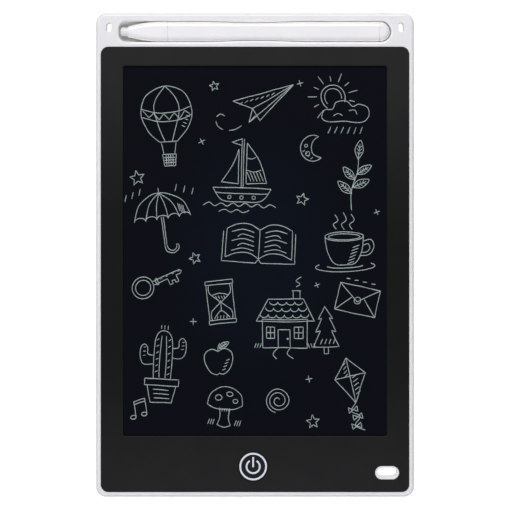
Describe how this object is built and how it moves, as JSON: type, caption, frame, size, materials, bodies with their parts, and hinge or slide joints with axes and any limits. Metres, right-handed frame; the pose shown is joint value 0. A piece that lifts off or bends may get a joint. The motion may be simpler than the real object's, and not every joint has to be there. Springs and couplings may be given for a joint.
{
  "type": "lcd writing tablet",
  "caption": "Slim writing tablet with a dark pressure-sensitive screen, erase button, lanyard eyelet and a stylus that lies in a groove of its top bar.",
  "frame": {"origin": "middle of the footprint, on the surface that the tablet lies on", "axes": "+X across the tablet, +Y up the writing surface towards the stylus bar, +Z out of the screen"},
  "size_m": [0.1484, 0.226, 0.0074],
  "materials": {
    "white_abs": "fine satin texture",
    "black_abs": "fine spark texture",
    "writing_film": "satin film",
    "absorber_film": "matt",
    "adhesive_tape": "matt",
    "backing_foam": "foamed",
    "flex_film": "smooth",
    "circuit_laminate": "solder mask",
    "black_resin": "moulded",
    "sheet_steel": "bright",
    "tinned_copper": "bright",
    "chip_ceramic": "fired",
    "sealing_ring": "moulded",
    "white_gloss_abs": "polished mould",
    "clear_nylon": "translucent"
  },
  "bodies": {
    "root": {"front_frame": "white_abs", "rear_cover": "white_abs", "front_bezel": "black_abs", "lcd_mounting_tape": "adhesive_tape", "lcd_writing_film": "writing_film", "lcd_absorber_film": "absorber_film", "backing_pad": "backing_foam", "lcd_flex_tail": "flex_film", "tact_switch_base": "sheet_steel", "circuit_board": "circuit_laminate", "board_screws": "sheet_steel", "controller_chip": "black_resin", "controller_leads": "tinned_copper", "boost_inductor": "black_resin", "chip_capacitors": "chip_ceramic", "chip_resistors": "chip_ceramic", "cell_can": "sheet_steel", "cell_gasket": "sealing_ring", "cell_cap": "sheet_steel", "cell_negative_contact": "tinned_copper", "cell_positive_contact": "tinned_copper", "slide_switch_case": "sheet_steel"},
    "erase_button": {"erase_button": "black_abs", "tact_switch_plunger": "black_resin"},
    "lock_slider": {"lock_slider": "white_abs", "slide_switch_lever": "black_resin"},
    "battery_door": {"battery_door": "white_abs", "battery_door_pad": "backing_foam"},
    "battery_door_screw": {"battery_door_screw": "sheet_steel"},
    "stylus": {"stylus_nib": "clear_nylon", "stylus_nose": "white_gloss_abs", "stylus_barrel": "white_gloss_abs", "stylus_end_cap": "white_gloss_abs"}
  },
  "joints": [
    {"name": "erase_button_press", "type": "slide", "parent": "root", "child": "erase_button", "axis": [0, 0, -1], "range_m": [0, 0.0003], "stiffness_N_per_m": 1200, "springref_m": -0.0004},
    {"name": "lock_slider_slide", "type": "slide", "parent": "root", "child": "lock_slider", "axis": [1, 0, 0], "range_m": [0, 0.0025]},
    {"name": "battery_door_swing", "type": "hinge", "parent": "root", "child": "battery_door", "pos_m": [-0.0185, -0.09805, 0.00005], "axis": [0, -1, 0], "range_deg": [0, 60]},
    {"name": "battery_door_screw_turn", "type": "hinge", "parent": "battery_door", "child": "battery_door_screw", "pos_m": [-0.0475, -0.09805, 0], "axis": [0, 0, -1], "continuous": true},
    {"name": "stylus_lift", "type": "slide", "parent": "root", "child": "stylus", "axis": [0, 0, 1], "range_m": [0, 0.02]}
  ]
}
